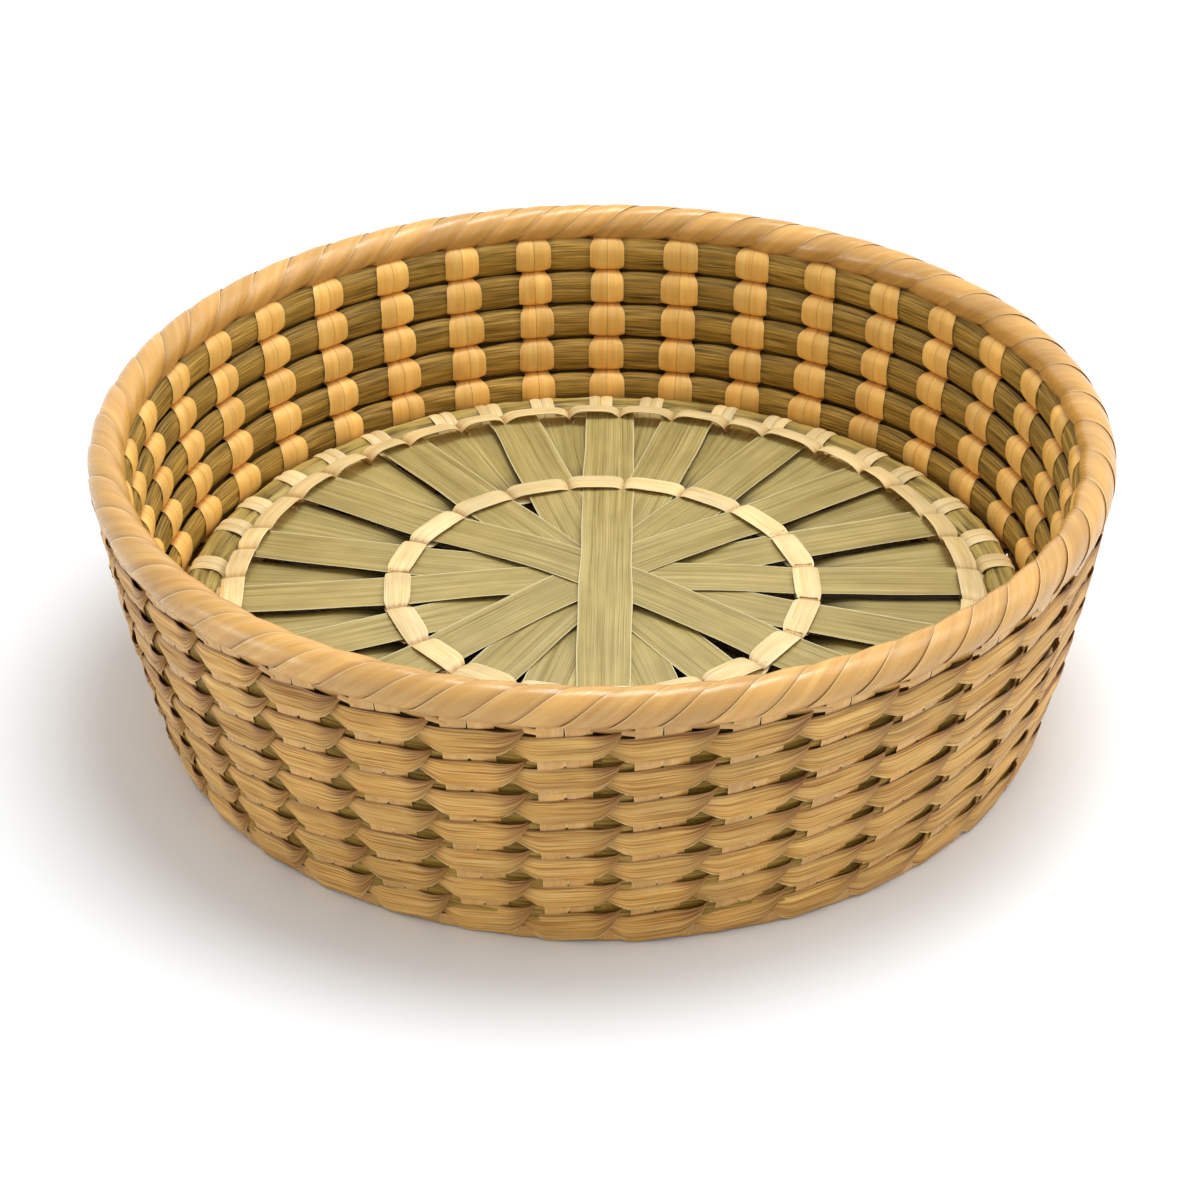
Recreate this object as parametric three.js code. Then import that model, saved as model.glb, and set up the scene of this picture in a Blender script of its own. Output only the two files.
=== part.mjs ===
// Open round basket of coiled palm leaf. Millimetres, +Z up, origin at the middle of the standing face.
// Olive fibre coils are stacked into a flaring wall and laced with pale leaf strips. The rim is a thick
// roll wound with slanting strips. The floor is a star of wide straps, raised above a hollow foot.
import * as THREE from "three";

// Driving dimensions of the wall
const ROW_COUNT = 7;
const COLUMN_COUNT = 36;
const FOOT_RADIUS = 110.2; // outside of the lowest row
const MOUTH_RADIUS = 122.1; // outside of the highest row
const WALL_BOW = 0.9; // how far the wall swells out between foot and mouth
const COIL_DEPTH = 6.1; // thickness of a coil from inside to outside
const COIL_HEIGHT = 7.2;
const STITCH_WIDTH = 9.0;
const STITCH_CROWN = 0.65; // thickness along the middle of a stitch
const STRIP_PUFF = 0.6; // how far the outside strip swells between two columns
const FOOT_FLAT = 0.35; // depth to which the lowest stitches are pressed flat

// Driving dimensions of the rim
const RIM_CORE_RADIUS = 4.6;
const RIM_WRAP_THICKNESS = 0.9;
const RIM_WRAP_GROOVE = 0.4; // depth of the valleys between the wound strips
const RIM_OVERHANG = 1.3; // how far the roll's centre stands outside the top coil's

// Driving dimensions of the floor
const FLOOR_ROW = 3; // the floor's edge sits on the inside of this row
const SPOKE_COUNT = 20;
const STRAP_WIDTH = 13.2;
const STRAP_THICKNESS = 0.4;
const FILLER_WIDTH = 12.4;
const FLOOR_DOME = 1.0; // rise of the floor from its edge to the inner ring
const STRAP_RUN_DOWN = 5.8; // length over which a strap comes down from the crossing to the inner ring
const RING_THICKNESS = 0.6;
const INNER_RING_WIDTH = 7.2;
const OUTER_RING_WIDTH = 7.5;
const BASE_COIL_DEPTH = 6.8; // across the floor, where it fills the space to the wall
const BASE_COIL_HEIGHT = 4.4;
const BASE_STITCH_COUNT = 40;
const BASE_STITCH_WIDTH = 5.4;
const BASE_STITCH_CROWN = 0.35;
const BASE_COIL_RISE = 1.5; // centre of the base coil above the centre of the row that holds it

// Clearances between separate pieces
const GAP = 0.3;
const LAYER_GAP = 0.1; // between flat straps lying on each other

// The order in which the straps cross, from the top down, as steps of one spoke from the +X side
const STRAP_ORDER = [5, 8, 2, 0, 3, 9, 7, 6, 4, 1];

const COLORS = { coil: 0x85713f, lacing: 0xdcb277, rim: 0xe4bd82, strap: 0xb3a775, ring: 0xe9c78a };

const leaf = (color) => new THREE.MeshStandardMaterial({ color, roughness: 0.75, metalness: 0 });
const material = {
  coil: leaf(COLORS.coil),
  lacing: leaf(COLORS.lacing),
  rim: leaf(COLORS.rim),
  strap: leaf(COLORS.strap),
  ring: leaf(COLORS.ring),
};

// A hoop with flat sides reaches this much further at its corners than in the middle of its sides
const cornerReach = (sides) => 1 / Math.cos(Math.PI / sides);

// Radii and heights of the rows, row 0 lowest
const stitchInside = COIL_DEPTH / 2 + GAP + STITCH_CROWN; // from a row's centre to the crown of its stitches
const loopHeight = COIL_HEIGHT / 2 + GAP + STITCH_CROWN; // half height of a laced row
const rowPitch = 2 * loopHeight + GAP;

// Radius of a coil whose lacing reaches a given radius outside
function coilRadius(outside, depth, crown, sides) {
  return (outside - GAP - crown) / cornerReach(sides) - depth / 2;
}

function rowRadius(row) {
  const share = row / (ROW_COUNT - 1);
  const bow = WALL_BOW * 4 * share * (1 - share);
  const outside = FOOT_RADIUS + (MOUTH_RADIUS - FOOT_RADIUS) * share + bow;
  return coilRadius(outside, COIL_DEPTH, STITCH_CROWN, COLUMN_COUNT);
}

const rowHeight = (row) => loopHeight - FOOT_FLAT + row * rowPitch;

// Place of the base coil, the floor's edge and the rings
const floorRow = FLOOR_ROW - 1;
const wallInside = rowRadius(floorRow) - stitchInside;
const baseOutside = (wallInside - GAP) / cornerReach(BASE_STITCH_COUNT);
const baseRadius = coilRadius(baseOutside, BASE_COIL_DEPTH, BASE_STITCH_CROWN, BASE_STITCH_COUNT);
const baseHeight = rowHeight(floorRow) + BASE_COIL_RISE;
const floorEdge = baseRadius - BASE_COIL_DEPTH / 2 - BASE_STITCH_CROWN - 2 * GAP;
const floorEdgeHeight = baseHeight + BASE_COIL_HEIGHT / 2;
const crossingRadius = STRAP_WIDTH / 2 / Math.tan(Math.PI / SPOKE_COUNT);
const innerRingStart = crossingRadius + STRAP_RUN_DOWN;
const innerRingEnd = innerRingStart + INNER_RING_WIDTH;
const outerRingStart = floorEdge - OUTER_RING_WIDTH;

// Height of the spokes' underside, which rises evenly from the floor's edge to the inner ring
function floorHeight(radius) {
  const share = (floorEdge - radius) / (floorEdge - innerRingStart);
  return floorEdgeHeight + FLOOR_DOME * Math.min(1, share);
}

// Collects triangles of a closed surface, corners in counter-clockwise order seen from outside
class Surface {
  constructor() {
    this.coordinates = [];
  }

  triangle(a, b, c) {
    this.coordinates.push(...a.toArray(), ...b.toArray(), ...c.toArray());
  }

  quad(a, b, c, d) {
    this.triangle(a, b, c);
    this.triangle(a, c, d);
  }

  // A four-cornered face raised to a peak in its middle
  peaked(a, b, c, d, peak) {
    this.triangle(a, b, peak);
    this.triangle(b, c, peak);
    this.triangle(c, d, peak);
    this.triangle(d, a, peak);
  }

  geometry() {
    const geometry = new THREE.BufferGeometry();
    geometry.setAttribute("position", new THREE.Float32BufferAttribute(this.coordinates, 3));
    return geometry;
  }
}

// A hoop of flat sides round the Z axis. Each point of the section is a radius to the middle of a side
// and a height, in counter-clockwise order. The first side faces the front.
function hoop(section, sides) {
  const reach = cornerReach(sides);
  const closed = [...section, section[0]];
  const points = closed.map(([radius, height]) => new THREE.Vector2(radius * reach, height));
  const geometry = new THREE.LatheGeometry(points, sides, Math.PI / sides);
  return geometry.rotateX(Math.PI / 2);
}

// Six-sided section of a fibre bundle, with a corner inwards and a corner outwards
function bundleSection(radius, height, halfDepth, halfHeight) {
  const outline = [[1, 0], [0.5, 1], [-0.5, 1], [-1, 0], [-0.5, -1], [0.5, -1]];
  return outline.map(([u, v]) => [radius + u * halfDepth, height + v * halfHeight]);
}

// Points in the frame of one stitch column: along the wall, outwards from the row's centre, and up from it
function columnFrame(index, count, radius, height) {
  const angle = (2 * Math.PI * index) / count - Math.PI / 2;
  return (along, out, up) => {
    const x = (radius + out) * Math.cos(angle) - along * Math.sin(angle);
    const y = (radius + out) * Math.sin(angle) + along * Math.cos(angle);
    return new THREE.Vector3(x, y, height + up);
  };
}

// One stitch at the four corners of its loop round the coil: outside top, inside top, inside bottom and
// outside bottom. It has a left and a right edge, and a crown line between them. Where a stitch is pressed
// flat below, the crown line opens into two there.
function stitchLoop(frame, row) {
  const half = row.width / 2;
  const inside = -row.coilDepth / 2 - GAP;
  const outside = (row.radius + row.coilDepth / 2) * cornerReach(row.count) + GAP - row.radius;
  const crownOutside = (row.radius + outside + row.crown) * cornerReach(row.count) - row.radius;
  const rise = row.coilHeight / 2 + GAP;
  const edge = (along) => [
    frame(along, outside, rise),
    frame(along, inside, rise),
    frame(along, inside, -rise),
    frame(along, outside, -rise),
  ];
  const top = rise + row.crown;
  const bottom = row.flat - top;
  const spread = (half * row.flat) / row.crown;
  const crown = (along) => [
    frame(0, crownOutside, top),
    frame(0, inside - row.crown, top),
    frame(along, inside - row.crown, bottom),
    frame(along, crownOutside, bottom),
  ];
  return { left: edge(-half), right: edge(half), crownLeft: crown(-spread), crownRight: crown(spread) };
}

// One laced row as one body: a strip round the outside of the coil, swollen between the columns, and at
// each column a stitch that runs over the coil, down its inner face and back under it
function lacing(row) {
  const surface = new Surface();
  const stripOutside = (row.radius + row.coilDepth / 2) * cornerReach(row.count) + GAP + row.crown;
  const peak = stripOutside * cornerReach(row.count) + row.puff - row.radius;
  for (let index = 0; index < row.count; index++) {
    const here = stitchLoop(columnFrame(index, row.count, row.radius, row.height), row);
    const next = stitchLoop(columnFrame(index + 1, row.count, row.radius, row.height), row);
    const { left, right, crownLeft, crownRight } = here;
    for (let start = 0; start < 4; start++) {
      const end = (start + 1) % 4;
      surface.quad(left[end], right[end], right[start], left[start]);
    }
    for (let start = 0; start < 3; start++) {
      const end = start + 1;
      surface.quad(crownRight[end], crownRight[start], right[start], right[end]);
      surface.quad(left[end], left[start], crownLeft[start], crownLeft[end]);
    }
    if (row.flat > 0) {
      surface.triangle(crownLeft[1], crownRight[2], crownLeft[2]);
      surface.quad(crownLeft[2], crownRight[2], crownRight[3], crownLeft[3]);
      surface.triangle(crownLeft[0], crownLeft[3], crownRight[3]);
    }
    const middle = columnFrame(index + 0.5, row.count, row.radius, row.height)(0, peak, 0);
    surface.peaked(crownRight[3], next.crownLeft[3], next.crownLeft[0], crownRight[0], middle);
    surface.quad(right[3], right[0], next.left[0], next.left[3]);
    surface.quad(right[0], crownRight[0], next.crownLeft[0], next.left[0]);
    surface.quad(next.left[3], next.crownLeft[3], crownRight[3], right[3]);
  }
  return surface.geometry();
}

function wallCoil(row) {
  return hoop(bundleSection(rowRadius(row), rowHeight(row), COIL_DEPTH / 2, COIL_HEIGHT / 2), COLUMN_COUNT);
}

function wallLacing(row) {
  return lacing({
    count: COLUMN_COUNT,
    radius: rowRadius(row),
    height: rowHeight(row),
    coilDepth: COIL_DEPTH,
    coilHeight: COIL_HEIGHT,
    width: STITCH_WIDTH,
    crown: STITCH_CROWN,
    puff: STRIP_PUFF,
    flat: row === 0 ? FOOT_FLAT : 0,
  });
}

// Centre of the rim's roll, which rests on the top row
const rollRadius = RIM_CORE_RADIUS + GAP + RIM_WRAP_THICKNESS;
const rimRadius = rowRadius(ROW_COUNT - 1) + RIM_OVERHANG;
const sixth = Math.PI / 3;
const flatOfRoll = Math.cos(sixth / 2); // middle of a side of a six-sided roll, as a share of its radius
const rimHeight = rowHeight(ROW_COUNT - 1) + loopHeight + GAP + rollRadius * flatOfRoll;

function rollPoint(radius, corner) {
  return [rimRadius + radius * Math.cos(corner * sixth), rimHeight + radius * Math.sin(corner * sixth)];
}

function rimCore() {
  const section = [0, 1, 2, 3, 4, 5].map((corner) => rollPoint(RIM_CORE_RADIUS, corner));
  return hoop(section, COLUMN_COUNT);
}

// The rim's strips, wound over the roll from its outer lower edge to its inner lower edge and open below.
// Crowns and valleys of the strips climb one station for each corner of the roll. Each flat side of the
// core spans two stations, so the inside of the wrap needs every other station only.
function rimWrap() {
  const surface = new Surface();
  const stations = 2 * COLUMN_COUNT;
  const firstCorner = -1;
  const lastCorner = 4;
  const innerRadius = RIM_CORE_RADIUS + GAP / flatOfRoll;
  const at = (station, corner, radius) => {
    const angle = (2 * Math.PI * station) / stations - Math.PI / 2;
    const [reach, height] = rollPoint(radius, corner);
    const out = reach * (station % 2 ? cornerReach(COLUMN_COUNT) : 1);
    return new THREE.Vector3(out * Math.cos(angle), out * Math.sin(angle), height);
  };
  const outer = (station, corner) => {
    const valley = (station + corner) % 2 !== 0;
    return at(station, corner, valley ? rollRadius - RIM_WRAP_GROOVE : rollRadius);
  };
  const inner = (station, corner) => at(station, corner, innerRadius);
  for (let station = 1; station < stations; station += 2) {
    const next = station + 2;
    for (let corner = firstCorner; corner < lastCorner; corner++) {
      const up = corner + 1;
      for (const step of [station, station + 1]) {
        surface.quad(outer(step, corner), outer(step + 1, corner), outer(step + 1, up), outer(step, up));
      }
      surface.quad(inner(station, corner), inner(station, up), inner(next, up), inner(next, corner));
    }
    const outerLip = [station, station + 1, next].map((step) => outer(step, firstCorner));
    const innerLip = [station, station + 1, next].map((step) => outer(step, lastCorner));
    surface.triangle(inner(station, firstCorner), inner(next, firstCorner), outerLip[1]);
    surface.triangle(inner(station, firstCorner), outerLip[1], outerLip[0]);
    surface.triangle(inner(next, firstCorner), outerLip[2], outerLip[1]);
    surface.triangle(inner(next, lastCorner), inner(station, lastCorner), innerLip[1]);
    surface.triangle(inner(station, lastCorner), innerLip[0], innerLip[1]);
    surface.triangle(inner(next, lastCorner), innerLip[1], innerLip[2]);
  }
  return surface.geometry();
}

function baseCoil() {
  const section = bundleSection(baseRadius, baseHeight, BASE_COIL_DEPTH / 2, BASE_COIL_HEIGHT / 2);
  return hoop(section, BASE_STITCH_COUNT);
}

function baseLacing() {
  return lacing({
    count: BASE_STITCH_COUNT,
    radius: baseRadius,
    height: baseHeight,
    coilDepth: BASE_COIL_DEPTH,
    coilHeight: BASE_COIL_HEIGHT,
    width: BASE_STITCH_WIDTH,
    crown: BASE_STITCH_CROWN,
    puff: 0,
    flat: 0,
  });
}

// A flat strap from its side view, a list of [distance along, height of the underside], and its width
function strap(underside, width) {
  const top = underside.map(([along, height]) => [along, height + STRAP_THICKNESS]).reverse();
  const outline = [...underside, ...top].map(([along, height]) => new THREE.Vector2(along, height));
  const geometry = new THREE.ExtrudeGeometry(new THREE.Shape(outline), { depth: width, bevelEnabled: false });
  return geometry.translate(0, 0, -width / 2).rotateX(Math.PI / 2);
}

// A long strap, which crosses the others at its own level and comes down to the inner ring on both sides
function longStrap(layer) {
  const middle = (STRAP_ORDER.length - 1) / 2;
  const lift = (middle - layer) * (STRAP_THICKNESS + LAYER_GAP);
  const slopeEnd = innerRingStart - GAP;
  const half = [
    [crossingRadius, floorHeight(crossingRadius) + lift],
    [slopeEnd, floorHeight(slopeEnd)],
    [floorEdge, floorHeight(floorEdge)],
  ];
  const otherHalf = half.map(([along, height]) => [-along, height]).reverse();
  return strap([...otherHalf, ...half], STRAP_WIDTH);
}

// A short strap, which lies below the spokes from the inner ring to the floor's edge
function filler() {
  const drop = LAYER_GAP + STRAP_THICKNESS;
  const start = innerRingEnd / Math.cos(Math.PI / SPOKE_COUNT) + GAP;
  const underside = [start, floorEdge].map((along) => [along, floorHeight(along) - drop]);
  return strap(underside, FILLER_WIDTH);
}

// A strip laid round the floor between two radii, flat at a distance above the spokes' underside and
// crowned along its middle, upwards or downwards
function ringStrip(start, end, offset, crown, sides) {
  const middle = (start + end) / 2;
  const corners = [
    [end, floorHeight(end) + offset],
    [middle, floorHeight(middle) + offset + crown],
    [start, floorHeight(start) + offset],
  ];
  return hoop(crown > 0 ? corners : corners.reverse(), sides);
}

const basket = new THREE.Group();

function add(name, geometry, finish, turn = 0) {
  const mesh = new THREE.Mesh(geometry, finish);
  mesh.name = name;
  mesh.rotation.z = turn;
  basket.add(mesh);
}

for (let row = 0; row < ROW_COUNT; row++) {
  add(`wall_coil_${row + 1}`, wallCoil(row), material.coil);
  add(`wall_lacing_${row + 1}`, wallLacing(row), material.lacing);
}

add("rim_core", rimCore(), material.coil);
add("rim_wrap", rimWrap(), material.rim);
add("base_coil", baseCoil(), material.coil);
add("base_coil_lacing", baseLacing(), material.lacing);

const twoDigits = (number) => String(number).padStart(2, "0");
const spokeAngle = (2 * Math.PI) / SPOKE_COUNT;

for (let index = 0; index < SPOKE_COUNT / 2; index++) {
  const geometry = longStrap(STRAP_ORDER.indexOf(index));
  add(`floor_strap_${twoDigits(index + 1)}`, geometry, material.strap, index * spokeAngle);
}

for (let index = 0; index < SPOKE_COUNT; index++) {
  add(`floor_filler_${twoDigits(index + 1)}`, filler(), material.strap, (index + 0.5) * spokeAngle);
}

const aboveSpokes = STRAP_THICKNESS + LAYER_GAP;
const belowSpokes = -LAYER_GAP;
const belowFillers = belowSpokes - STRAP_THICKNESS - LAYER_GAP;
const rings = [
  ["inner_ring_upper", innerRingStart, innerRingEnd, aboveSpokes, RING_THICKNESS, SPOKE_COUNT],
  ["inner_ring_lower", innerRingStart, innerRingEnd, belowSpokes, -RING_THICKNESS, SPOKE_COUNT],
  ["outer_ring_upper", outerRingStart, floorEdge, aboveSpokes, RING_THICKNESS, 2 * SPOKE_COUNT],
  ["outer_ring_lower", outerRingStart, floorEdge, belowFillers, -RING_THICKNESS, 2 * SPOKE_COUNT],
];
for (const [name, ...strip] of rings) {
  add(name, ringStrip(...strip), material.ring);
}

export default basket;
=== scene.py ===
# An open round basket of coiled palm leaf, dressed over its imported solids. Everything is in metres.
# Every leaf strip and fibre coil is a closed body swept along its own path.
import math

import bpy
import numpy as np
from mathutils import Euler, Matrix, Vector


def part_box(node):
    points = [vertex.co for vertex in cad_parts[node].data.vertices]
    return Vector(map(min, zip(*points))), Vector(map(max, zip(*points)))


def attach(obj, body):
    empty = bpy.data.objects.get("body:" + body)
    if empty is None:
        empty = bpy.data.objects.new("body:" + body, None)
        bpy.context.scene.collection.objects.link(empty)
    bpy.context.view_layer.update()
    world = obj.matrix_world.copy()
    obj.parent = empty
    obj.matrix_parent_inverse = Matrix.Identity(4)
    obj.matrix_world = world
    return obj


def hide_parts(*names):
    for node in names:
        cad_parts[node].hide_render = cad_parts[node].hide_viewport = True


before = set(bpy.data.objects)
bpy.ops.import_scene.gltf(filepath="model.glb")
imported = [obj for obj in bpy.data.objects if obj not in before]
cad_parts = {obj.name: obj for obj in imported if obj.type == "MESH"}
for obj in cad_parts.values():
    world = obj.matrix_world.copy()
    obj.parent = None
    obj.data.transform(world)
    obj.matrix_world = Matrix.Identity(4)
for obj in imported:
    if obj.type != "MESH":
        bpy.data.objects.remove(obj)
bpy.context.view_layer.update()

# Counts and directions that the solids share
ROWS = 7
COLUMNS = 36
PITCH = 2 * math.pi / COLUMNS
FRONT = -math.pi / 2
SPOKES = 20
SPOKE_TURN = 2 * math.pi / SPOKES
STRAPS = SPOKES // 2

# Every strip
LEAF = 0.00035  # thickness of a leaf strip
STRIP_PLACES = 13  # points across its upper side
UNDERSIDE = 0.92  # half width of its underside, as a share
RIDGE_WAVES = 2  # waves across a strip of its coarsest ridges
SHARP_ANGLE = math.radians(60)  # from which an edge stays sharp

# Seeds of the random draws
COIL_SEED = 10
LACING_SEED = 30
RIM_SEED = 50
BASE_SEED = 60
STRAP_SEED = 100
FILLER_SEED = 200
RING_SEED = 301

# Leaf materials
STREAK_DETAIL = 4.0
BAND_DETAIL = 2.0
BAND_STRETCH = (3, 6)  # how much coarser bands are than streaks, along and across
BAND_SHARE = 0.4  # of the bands in the colour
BAND_STOPS = (0.3, 0.5, 0.7)
PATCH_CELLS = (70, 150)  # of patches, to the metre, along and across
NOISE_SPAN = (0.3, 0.7)  # most of a noise is between these
PATCH_LIGHT = (0.92, 1.07)
TONE_LIGHT = (0.90, 1.07)  # brightness of the darkest and the lightest strip
STREAK_SPREAD = 0.2  # of the streaks' noise at a contrast of 1
STREAK_DARK = 0.48  # noise that is one spread above the dark streaks
DEEPEST_SPREAD = 1.5  # spreads from there down to the painted shade's colour, which the darkest streaks also take
# share of the painted highlight in the colour at a strip's edges
HIGHLIGHT_SHARE = 0.8
SHADE_NOISE = (0.35, 0.62)  # noise over which the painted shade gets weaker
SHADE_SHARE = (1.0, 0.55)
GLOSS_SWING = 0.08  # of the roughness, from streak to streak
BUMP_STRENGTH = 0.6
MIX_FIRST, MIX_SECOND, MIX_RESULT = 6, 7, 2  # colour sockets of Blender's Mix node

# Wall coils
COLUMN_TURN = math.radians(-0.7)  # of the stitches inside, from an even start at the front
COIL_DEPTH = 0.0061  # of a coil's solid
COIL_INNER = 0.0035  # from the middle of a coil to its inner face
COIL_OUTER = 0.0036  # and to its outer face, which shows between the scales
FOOT_COIL_OUTER = 0.0022  # the same for the lowest coil, where the foot hides it
COIL_DROP = 0.0048  # of the outer face below the inner one
COIL_HALF_HEIGHT = 0.0050
LOW_COIL_HALF_HEIGHT = 0.0056  # of the rows below the floor, which stand further apart
LOW_ROWS = 2
COIL_RISE = 0.0031  # of a coil over the middle of its row, because the scales hang below their coils
FULL_RISE_ROW = 3  # lowest row that rises by all of that
COIL_PINCH = 0.18  # share by which a stitch squeezes the coil
COIL_STEPS = 8  # rings of a coil between two columns
COIL_CORNERS = 40
COIL_ROUNDING = 0.85  # power of the section's sine and cosine, below 1 for a boxier section
COIL_BLUNTING = 0.3  # by which the cosine's power is less on the outer side
COIL_TURNOVER = (-0.3, 0.3)  # cosines of the section's angle, from the inner side to the outer side
FLUTE = 0.00008
FLUTE_WAVES = (5, 7, 9, 12, 14)  # flutes round the section
FLUTE_TWIST = 40  # the most waves by which one winds on its way round the basket
CREASE = (0.86, 1.0)  # sines of the section's angle over which painted shade darkens it towards the next coil
CREASE_SHADE = 0.6
CREASE_RELIEF = 0.35  # by which that painted shade is less on the outer side
PINCH_SHADE = 0.45  # painted shade on the coil beside a stitch
PINCH_RANGE = (0.10, 0.34)

# Stitches inside the wall
STITCH_WIDTH = 0.0094
STITCH_UNEVEN = 0.04  # share by which the widths differ
STITCH_SEAM = 0.00003  # half the space between the two strands of a stitch
STITCH_HALF_DEPTH = 0.0037
STITCH_HALF_HEIGHT = 0.0046
STITCH_ENDS = (math.radians(75), math.radians(285))  # angles round the coil, by way of its inner face
STITCH_ROUNDING = 0.8
STITCH_NECK = 0.28  # share by which a stitch narrows where it goes between the rows
NECK_POWER = 5  # the higher, the shorter the neck
NECK_RANGE = (0.88, 1.0)  # sines of a strand's angle over which painted shade darkens it there
NECK_SHADE = 0.6
STITCH_CROWN = 0.00030  # of the two strands together
STRAND_CROWN = 0.00009  # of each of them
# painted shade along the seam between a stitch's two strands
SEAM_RANGE = (-0.90, -1.0)
SEAM_SHADE = 0.18
STITCH_STEPS = 21

# Scales: the leaf shapes on the outside, measured along the wall in columns and down it in rows
SCALE_TURN = math.radians(6.2)  # of the scales, from an even start at the front
SCALE_LEFT = -0.61
SCALE_RIGHT = 0.62
SCALE_TILT = -0.26  # rows that a scale goes down in one column, so its right end is the higher one
SCALE_HEIGHT = 0.79
SCALE_BOW = 0.05  # by which the upper edge goes higher still at the right end
SCALE_SHOULDER = 0.25  # place from which the lower edge rises to both ends
LEFT_RISE, LEFT_LENGTH, LEFT_POWER = 0.41, 0.335, 1.5  # of that edge's curve at the left end
RIGHT_RISE, RIGHT_LENGTH, RIGHT_POWER = 0.80, 0.37, 1.9
SCALE_STEPS = 30
SCALE_SLIP = 0.008  # random, along the wall
SCALE_LEVEL = 0.012  # random, up and down
ROW_MIDDLE = 0.5
FOOT_DROP = 0.19  # share of a row by which the lowest scales are longer
TAB = 0.285  # half width of the two tabs below a scale
NICK = 0.020  # half width of the nick between them, at its lower end
TAB_TOP = 0.62
TAB_BOTTOM = 1.01
FOOT_BOTTOM = 1.05  # of the strip that closes the foot below the lowest scales
FOOT_ENDS = (-0.60, 0.43)

# Heights and depths of a scale and its tabs in metres, and the places or shares over which they change
SCALE_TOP = 0.00475  # of a scale's upper edge over the middle of its row
SCALE_CREEP = 0.0002  # by which each row of scales lies closer to the one above than the coils do
SCALE_OUT = 0.0052  # the middle of a scale, outwards from its solid coil's centre
SCALE_LOOSE = 0.00012  # random, outwards
LAP_RISE, LAP_RANGE = 0.0003, (0.1, 0.4)  # of the right end, over the next scale
LAP_SINK, SINK_RANGE = 0.0008, (-0.28, -0.56)  # of the left end, under the last scale
TIP_SINK, TIP_RANGE = 0.0012, (0.52, 0.61)  # of the right tip, back into the wall
TUCK, TUCK_RANGE = 0.0008, (0.1, 0.42)  # of the upper edge, as far as the tabs above cover it
TUCK_SHARE = 0.5  # of a scale's height
CURL, CURL_RANGE = 0.0006, (0.6, 1.0)  # of the lower edge towards the wall
SCALE_RIDGES = 6
SCALE_RIDGE = (0.00002, 0.00005)  # least height of a ridge, and what chance may add
FREE_RANGE = (TAB - 0.03, TAB + 0.05)  # places beside the tabs, where the painted highlight of the lower edge shows
TAB_SUNK = 0.0007  # of the tabs, inwards from the scale
TAB_SLOPE = 0.0003  # by which their lower ends lie deeper
TAB_CROWN = 0.0001
TAB_STEPS = 15
NICK_RANGE = (0.76, 0.82)  # shares of a tab's length over which the nick opens

# Painted shade on the scales and tabs
RIGHT_SHADE, RIGHT_RANGE = 0.6, (0.16, 0.54)
CORNER_SHADE, CORNER_RANGE = 0.4, (0.4, -0.6)  # more of it towards the upper right corner
LEFT_SHADE, LEFT_RANGE = 0.4, (-0.38, -0.56)
UPPER_SHADE, UPPER_RANGE = 0.85, (-0.60, -1.0)
TAB_TOP_SHADE, TAB_TOP_RANGE = 0.2, (0.55, 0.35)
TAB_END_SHADE, TAB_END_RANGE = 0.5, (0.86, 1.0)

# Rim
RIM_CORE = 0.0046  # half depth of the solid core
RIM_OUT = 0.0014  # of the wound strips' centre from the solid core's
RIM_UP = 0.0007
RIM_TABS = 2 * COLUMNS
RIM_STRIPS = 60
RIM_STRETCH = 1.2  # strips are wider by this at the left and right, narrower at the front and back
RIM_HALF_DEPTH = 0.0039  # of the oval on which the strips of the rim lie
RIM_HALF_HEIGHT = 0.0046
RIM_BED = 0.0002  # of the layer under them, inwards from that oval
# painted shade on the layer under the strips, and on the core
RIM_BED_SHADE = 0.5
RIM_BED_CORNERS = 24
RIM_CORE_CORNERS = 20
RIM_STEPS = 4  # rings of these between two columns
RIM_START = math.radians(-36)
RIM_END = math.radians(236)
RIM_STRIP_STEPS = 36
RIM_ADVANCE = math.radians(16.3)  # how far a strip moves on round the rim in one turn about it
RIM_OVERLAP = 0.12  # share of a strip's width by which it lies over the last and under the next
RIM_GATHER = 0.3  # share of its width by which a strip is narrower at its inner end, in pairs
RIM_GATHER_START = math.radians(190)
RIM_CROWN, RIM_CROWN_UNEVEN = 0.00055, 0.00005
RIM_TILT, RIM_TILT_UNEVEN = 0.00030, 0.00003  # of a strip's first edge upwards
# painted shade on the roll's inner side, from the angle below onwards
RIM_INNER_SHADE = 0.5
RIM_INNER_START = math.radians(130)
RIM_GROOVE_SHADE, RIM_GROOVE_RANGE = 0.95, (0.44, 0.64)  # painted shade where the next strip lies over this one

# Tabs and slivers of strip below the rim
RIM_TAB_DROP = 0.0029
RIM_TAB_LAP = 0.0010  # of a tab under the strips
RIM_TAB_SLOPE = 0.0003  # by which its lower end lies further in
RIM_TAB_CURL = 0.0004
RIM_TAB_CROWN = 0.00012
RIM_TAB_STEPS = 7
# painted shade where the roll covers a tab, and at its lower end
RIM_TAB_TOP_SHADE, RIM_TAB_TOP_RANGE = 0.4, (0.5, 0.2)
RIM_TAB_END_SHADE, RIM_TAB_END_RANGE = 0.5, (0.9, 1.0)
SLIVER_START = 0.24  # columns from a scale's middle, where a sliver of strip shows between the tabs
SLIVER_END = 0.78
SLIVER_SUNK = 0.0004
SLIVER_TOP = 0.0002  # of its middle line below the roll's edge, where it starts
SLIVER_FALL = 0.0020  # of that line on the way to its other end
SLIVER_HALF_WIDTH = 0.0010
SLIVER_TAPER = 0.0003
SLIVER_CROWN = 0.0002
SLIVER_STEPS = 15
# painted shade at a sliver's covered start and along its upper side
SLIVER_START_SHADE, SLIVER_START_RANGE = 0.6, (0.5, 0.0)
SLIVER_UPPER_SHADE, SLIVER_UPPER_RANGE = 0.4, (0.2, 1.0)

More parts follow.
